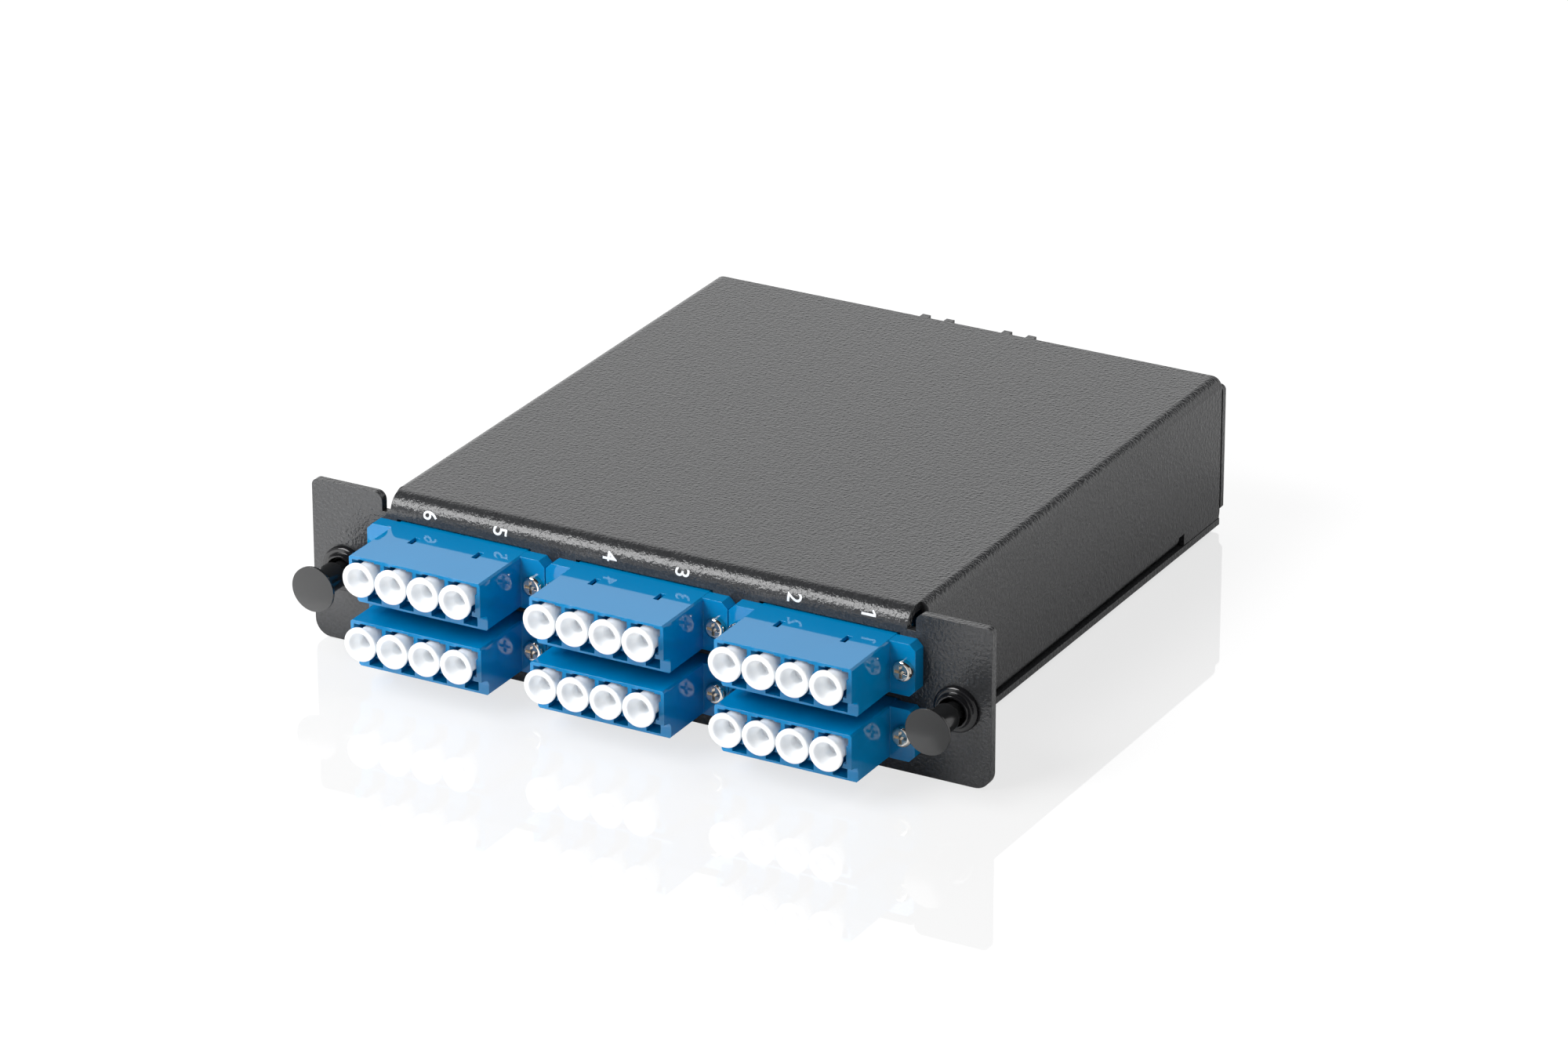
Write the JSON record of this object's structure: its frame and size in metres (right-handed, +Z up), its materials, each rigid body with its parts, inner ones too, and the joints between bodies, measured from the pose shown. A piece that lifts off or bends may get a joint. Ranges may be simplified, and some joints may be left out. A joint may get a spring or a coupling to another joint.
{
  "type": "fibre cassette",
  "caption": "Slide-in fibre optic cassette: flat folded sheet housing with eared front panel, blue LC adapters with white dust caps, snap plungers and rear multi-fibre adapters.",
  "frame": {"origin": "middle of the front panel's face, at the panel's lower edge", "axes": "+X to the right along the panel seen from the front, +Y from the panel's face into the bay, +Z up"},
  "size_m": [0.13, 0.1488, 0.0289],
  "materials": {
    "powder_coat": "fine textured powder coat",
    "adapter_blue": "satin moulded plastic",
    "cap_white": "soft milky plastic",
    "grommet_black": "glossy black nylon",
    "plunger_grey": "matte dark grey nylon",
    "nickel_steel": "nickel plated",
    "ceramic": "polished white ceramic",
    "plug_blue": "satin moulded plastic",
    "fibre_yellow": "smooth sleeve",
    "moulded_black": "moulded plastic"
  },
  "bodies": {
    "housing": {"adapter_nuts": "nickel_steel", "adapter_screws": "nickel_steel", "alignment_sleeves": "ceramic", "base_screws": "nickel_steel", "base_tray": "powder_coat", "fanout_blocks": "moulded_black", "fanout_fibres_lower": "fibre_yellow", "fanout_fibres_upper": "fibre_yellow", "fanout_holder": "moulded_black", "fibre_trunk_left": "fibre_yellow", "fibre_trunk_right": "fibre_yellow", "grommet_left": "grommet_black", "grommet_right": "grommet_black", "housing_cover": "powder_coat", "lc_adapter_1": "adapter_blue", "lc_adapter_2": "adapter_blue", "lc_adapter_3": "adapter_blue", "lc_adapter_4": "adapter_blue", "lc_adapter_5": "adapter_blue", "lc_adapter_6": "adapter_blue", "lc_plugs_lower": "plug_blue", "lc_plugs_upper": "plug_blue", "mpo_adapter_left": "moulded_black", "mpo_adapter_right": "moulded_black", "mpo_plug_left": "moulded_black", "mpo_plug_right": "moulded_black", "rear_nuts": "nickel_steel", "rear_screws": "nickel_steel"},
    "dust_cap_01_body": {"dust_cap_01": "cap_white"},
    "dust_cap_02_body": {"dust_cap_02": "cap_white"},
    "dust_cap_03_body": {"dust_cap_03": "cap_white"},
    "dust_cap_04_body": {"dust_cap_04": "cap_white"},
    "dust_cap_05_body": {"dust_cap_05": "cap_white"},
    "dust_cap_06_body": {"dust_cap_06": "cap_white"},
    "dust_cap_07_body": {"dust_cap_07": "cap_white"},
    "dust_cap_08_body": {"dust_cap_08": "cap_white"},
    "dust_cap_09_body": {"dust_cap_09": "cap_white"},
    "dust_cap_10_body": {"dust_cap_10": "cap_white"},
    "dust_cap_11_body": {"dust_cap_11": "cap_white"},
    "dust_cap_12_body": {"dust_cap_12": "cap_white"},
    "dust_cap_13_body": {"dust_cap_13": "cap_white"},
    "dust_cap_14_body": {"dust_cap_14": "cap_white"},
    "dust_cap_15_body": {"dust_cap_15": "cap_white"},
    "dust_cap_16_body": {"dust_cap_16": "cap_white"},
    "dust_cap_17_body": {"dust_cap_17": "cap_white"},
    "dust_cap_18_body": {"dust_cap_18": "cap_white"},
    "dust_cap_19_body": {"dust_cap_19": "cap_white"},
    "dust_cap_20_body": {"dust_cap_20": "cap_white"},
    "dust_cap_21_body": {"dust_cap_21": "cap_white"},
    "dust_cap_22_body": {"dust_cap_22": "cap_white"},
    "dust_cap_23_body": {"dust_cap_23": "cap_white"},
    "dust_cap_24_body": {"dust_cap_24": "cap_white"},
    "plunger_left_body": {"plunger_left": "plunger_grey"},
    "plunger_right_body": {"plunger_right": "plunger_grey"},
    "mpo_cap_left_body": {"mpo_cap_left": "moulded_black"},
    "mpo_cap_right_body": {"mpo_cap_right": "moulded_black"}
  },
  "joints": [
    {"name": "dust_cap_01_pull", "type": "slide", "parent": "housing", "child": "dust_cap_01_body", "axis": [0, -1, 0], "range_m": [0, 0.008]},
    {"name": "dust_cap_02_pull", "type": "slide", "parent": "housing", "child": "dust_cap_02_body", "axis": [0, -1, 0], "range_m": [0, 0.008]},
    {"name": "dust_cap_03_pull", "type": "slide", "parent": "housing", "child": "dust_cap_03_body", "axis": [0, -1, 0], "range_m": [0, 0.008]},
    {"name": "dust_cap_04_pull", "type": "slide", "parent": "housing", "child": "dust_cap_04_body", "axis": [0, -1, 0], "range_m": [0, 0.008]},
    {"name": "dust_cap_05_pull", "type": "slide", "parent": "housing", "child": "dust_cap_05_body", "axis": [0, -1, 0], "range_m": [0, 0.008]},
    {"name": "dust_cap_06_pull", "type": "slide", "parent": "housing", "child": "dust_cap_06_body", "axis": [0, -1, 0], "range_m": [0, 0.008]},
    {"name": "dust_cap_07_pull", "type": "slide", "parent": "housing", "child": "dust_cap_07_body", "axis": [0, -1, 0], "range_m": [0, 0.008]},
    {"name": "dust_cap_08_pull", "type": "slide", "parent": "housing", "child": "dust_cap_08_body", "axis": [0, -1, 0], "range_m": [0, 0.008]},
    {"name": "dust_cap_09_pull", "type": "slide", "parent": "housing", "child": "dust_cap_09_body", "axis": [0, -1, 0], "range_m": [0, 0.008]},
    {"name": "dust_cap_10_pull", "type": "slide", "parent": "housing", "child": "dust_cap_10_body", "axis": [0, -1, 0], "range_m": [0, 0.008]},
    {"name": "dust_cap_11_pull", "type": "slide", "parent": "housing", "child": "dust_cap_11_body", "axis": [0, -1, 0], "range_m": [0, 0.008]},
    {"name": "dust_cap_12_pull", "type": "slide", "parent": "housing", "child": "dust_cap_12_body", "axis": [0, -1, 0], "range_m": [0, 0.008]},
    {"name": "dust_cap_13_pull", "type": "slide", "parent": "housing", "child": "dust_cap_13_body", "axis": [0, -1, 0], "range_m": [0, 0.008]},
    {"name": "dust_cap_14_pull", "type": "slide", "parent": "housing", "child": "dust_cap_14_body", "axis": [0, -1, 0], "range_m": [0, 0.008]},
    {"name": "dust_cap_15_pull", "type": "slide", "parent": "housing", "child": "dust_cap_15_body", "axis": [0, -1, 0], "range_m": [0, 0.008]},
    {"name": "dust_cap_16_pull", "type": "slide", "parent": "housing", "child": "dust_cap_16_body", "axis": [0, -1, 0], "range_m": [0, 0.008]},
    {"name": "dust_cap_17_pull", "type": "slide", "parent": "housing", "child": "dust_cap_17_body", "axis": [0, -1, 0], "range_m": [0, 0.008]},
    {"name": "dust_cap_18_pull", "type": "slide", "parent": "housing", "child": "dust_cap_18_body", "axis": [0, -1, 0], "range_m": [0, 0.008]},
    {"name": "dust_cap_19_pull", "type": "slide", "parent": "housing", "child": "dust_cap_19_body", "axis": [0, -1, 0], "range_m": [0, 0.008]},
    {"name": "dust_cap_20_pull", "type": "slide", "parent": "housing", "child": "dust_cap_20_body", "axis": [0, -1, 0], "range_m": [0, 0.008]},
    {"name": "dust_cap_21_pull", "type": "slide", "parent": "housing", "child": "dust_cap_21_body", "axis": [0, -1, 0], "range_m": [0, 0.008]},
    {"name": "dust_cap_22_pull", "type": "slide", "parent": "housing", "child": "dust_cap_22_body", "axis": [0, -1, 0], "range_m": [0, 0.008]},
    {"name": "dust_cap_23_pull", "type": "slide", "parent": "housing", "child": "dust_cap_23_body", "axis": [0, -1, 0], "range_m": [0, 0.008]},
    {"name": "dust_cap_24_pull", "type": "slide", "parent": "housing", "child": "dust_cap_24_body", "axis": [0, -1, 0], "range_m": [0, 0.008]},
    {"name": "plunger_left_push", "type": "slide", "parent": "housing", "child": "plunger_left_body", "axis": [0, 1, 0], "range_m": [0, 0.0077]},
    {"name": "plunger_right_push", "type": "slide", "parent": "housing", "child": "plunger_right_body", "axis": [0, 1, 0], "range_m": [0, 0.0077]},
    {"name": "mpo_cap_left_pull", "type": "slide", "parent": "housing", "child": "mpo_cap_left_body", "axis": [0, 1, 0], "range_m": [0, 0.0105]},
    {"name": "mpo_cap_right_pull", "type": "slide", "parent": "housing", "child": "mpo_cap_right_body", "axis": [0, 1, 0], "range_m": [0, 0.0105]}
  ]
}
